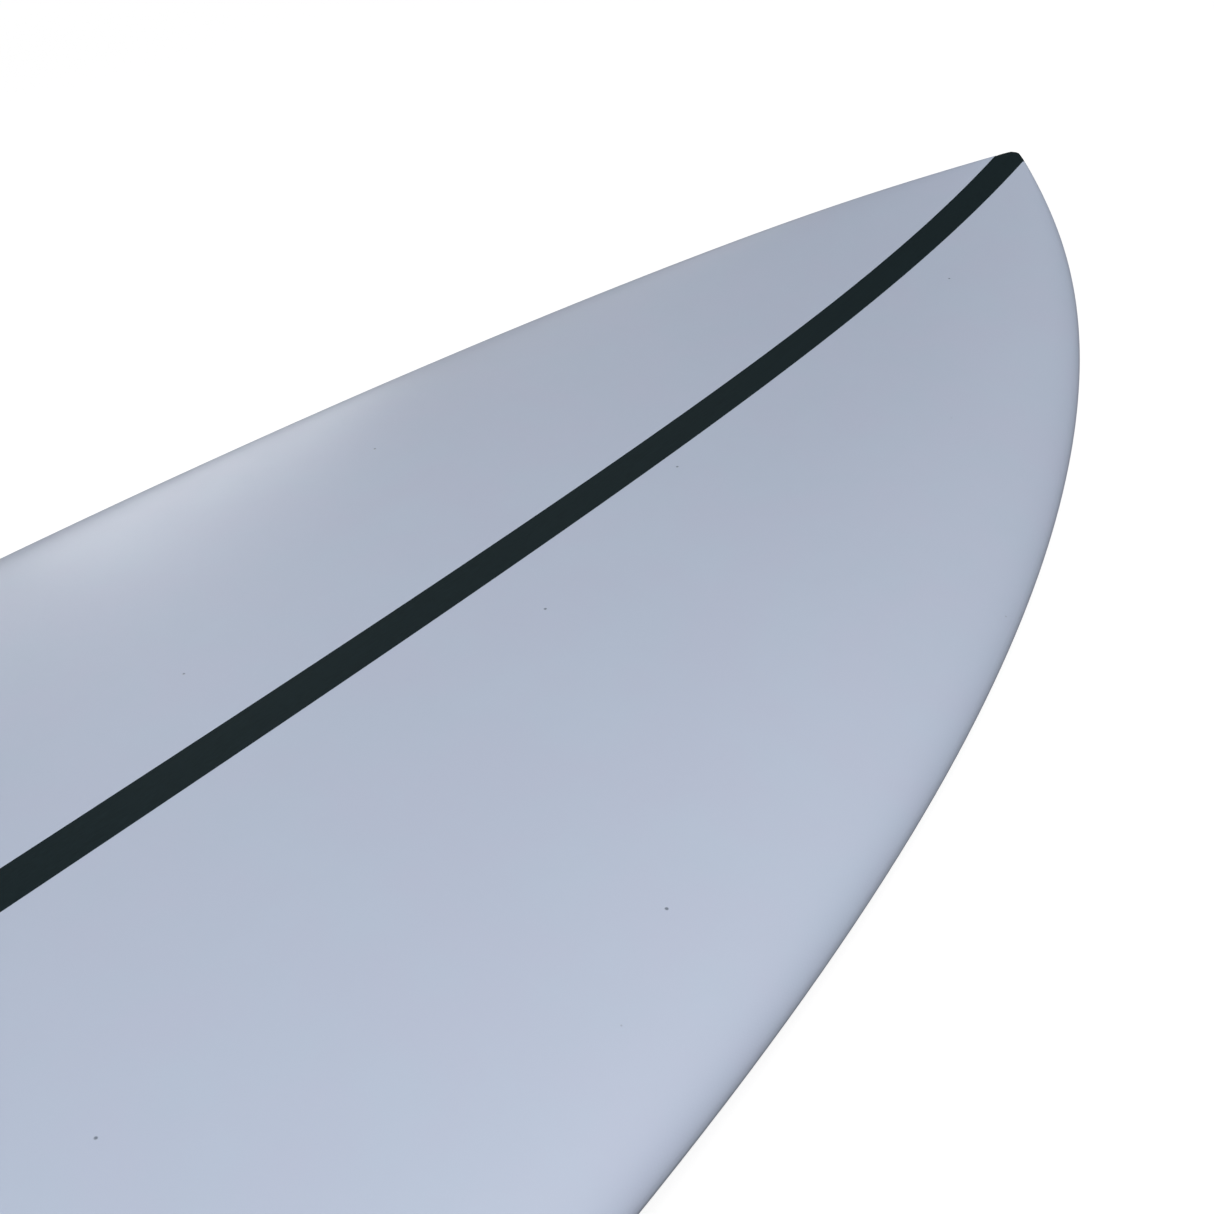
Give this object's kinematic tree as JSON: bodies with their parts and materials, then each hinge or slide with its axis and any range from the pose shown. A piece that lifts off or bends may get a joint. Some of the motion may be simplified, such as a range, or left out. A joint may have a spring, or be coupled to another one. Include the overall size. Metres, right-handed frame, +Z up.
{
  "type": "surfboard",
  "caption": "Full-nosed surfboard with a foam core in laminate skins, a flush dark stringer strip, removable foiled fins, a leash plug and a screw vent.",
  "frame": {"origin": "centre of the bounding box's bottom face, on the floor that the board lies on, deck up, resting on its belly and the tips of its two side fins", "axes": "+X towards the nose, +Y to the board's left (port) side, +Z up; the board is pitched nose down by about 5 degrees as it lies"},
  "size_m": [1.9286, 0.5312, 0.1727],
  "materials": {
    "laminate": "pale blue-grey pigmented glass laminate, sanded and polished to a soft gloss",
    "carbon_strip": "near-black woven fibre strip under a clear satin laminate",
    "foam": "matt white expanded foam",
    "dense_foam": "matt straw-coloured dense foam",
    "box_plastic": "fine matt black moulding",
    "plug_plastic": "fine matt black moulding",
    "vent_plastic": "fine matt black moulding",
    "fin": "near-black fibre composite, satin",
    "screw_steel": "stainless steel, satin",
    "bar_steel": "stainless steel, polished",
    "vent_screw": "stainless steel, satin",
    "seal_rubber": "matt black rubber"
  },
  "bodies": {
    "board": {"foam_core": "foam", "deck_skin": "laminate", "bottom_skin": "laminate", "deck_stringer_strip": "carbon_strip", "bottom_stringer_strip": "carbon_strip", "fin_box_left": "box_plastic", "fin_box_centre": "box_plastic", "fin_box_right": "box_plastic", "fin_insert_left": "dense_foam", "fin_insert_centre": "dense_foam", "fin_insert_right": "dense_foam", "leash_plug_cup": "plug_plastic", "leash_plug_bar": "bar_steel", "vent_plug_body": "vent_plastic", "vent_plug_seal": "seal_rubber"},
    "fin_left": {"fin_left": "fin"},
    "fin_centre": {"fin_centre": "fin"},
    "fin_right": {"fin_right": "fin"},
    "grub_screw_left_front": {"grub_screw_left_front": "screw_steel"},
    "grub_screw_left_rear": {"grub_screw_left_rear": "screw_steel"},
    "grub_screw_centre_front": {"grub_screw_centre_front": "screw_steel"},
    "grub_screw_centre_rear": {"grub_screw_centre_rear": "screw_steel"},
    "grub_screw_right_front": {"grub_screw_right_front": "screw_steel"},
    "grub_screw_right_rear": {"grub_screw_right_rear": "screw_steel"},
    "vent_plug_screw": {"vent_plug_screw": "vent_screw"}
  },
  "joints": [
    {"name": "fin_left_pull", "type": "slide", "parent": "board", "child": "fin_left", "axis": [-0.1626, 0.1084, -0.9807], "range_m": [0, 0.025]},
    {"name": "fin_centre_pull", "type": "slide", "parent": "board", "child": "fin_centre", "axis": [-0.209, 0, -0.9779], "range_m": [0, 0.025]},
    {"name": "fin_right_pull", "type": "slide", "parent": "board", "child": "fin_right", "axis": [-0.1626, -0.1084, -0.9807], "range_m": [0, 0.025]},
    {"name": "grub_screw_left_front_turn", "type": "hinge", "parent": "board", "child": "grub_screw_left_front", "pos_m": [-0.6021, 0.15571, 0.09449], "axis": [-0.1747, -0.4341, -0.8838], "range_deg": [0, 1080]},
    {"name": "grub_screw_left_rear_turn", "type": "hinge", "parent": "board", "child": "grub_screw_left_rear", "pos_m": [-0.66706, 0.15915, 0.10564], "axis": [-0.1747, -0.4341, -0.8838], "range_deg": [0, 1080]},
    {"name": "grub_screw_centre_front_turn", "type": "hinge", "parent": "board", "child": "grub_screw_centre_front", "pos_m": [-0.79039, 0.0086, 0.12778], "axis": [-0.1773, 0.5299, -0.8293], "range_deg": [0, 1080]},
    {"name": "grub_screw_centre_rear_turn", "type": "hinge", "parent": "board", "child": "grub_screw_centre_rear", "pos_m": [-0.85493, 0.0086, 0.14158], "axis": [-0.1773, 0.5299, -0.8293], "range_deg": [0, 1080]},
    {"name": "grub_screw_right_front_turn", "type": "hinge", "parent": "board", "child": "grub_screw_right_front", "pos_m": [-0.6021, -0.15571, 0.09449], "axis": [-0.1747, 0.4341, -0.8838], "range_deg": [0, 1080]},
    {"name": "grub_screw_right_rear_turn", "type": "hinge", "parent": "board", "child": "grub_screw_right_rear", "pos_m": [-0.66706, -0.15915, 0.10564], "axis": [-0.1747, 0.4341, -0.8838], "range_deg": [0, 1080]},
    {"name": "vent_plug_screw_turn", "type": "hinge", "parent": "board", "child": "vent_plug_screw", "pos_m": [-0.51529, -0.04, 0.13576], "axis": [0.0943, -0.0191, 0.9954], "range_deg": [0, 1800]}
  ]
}
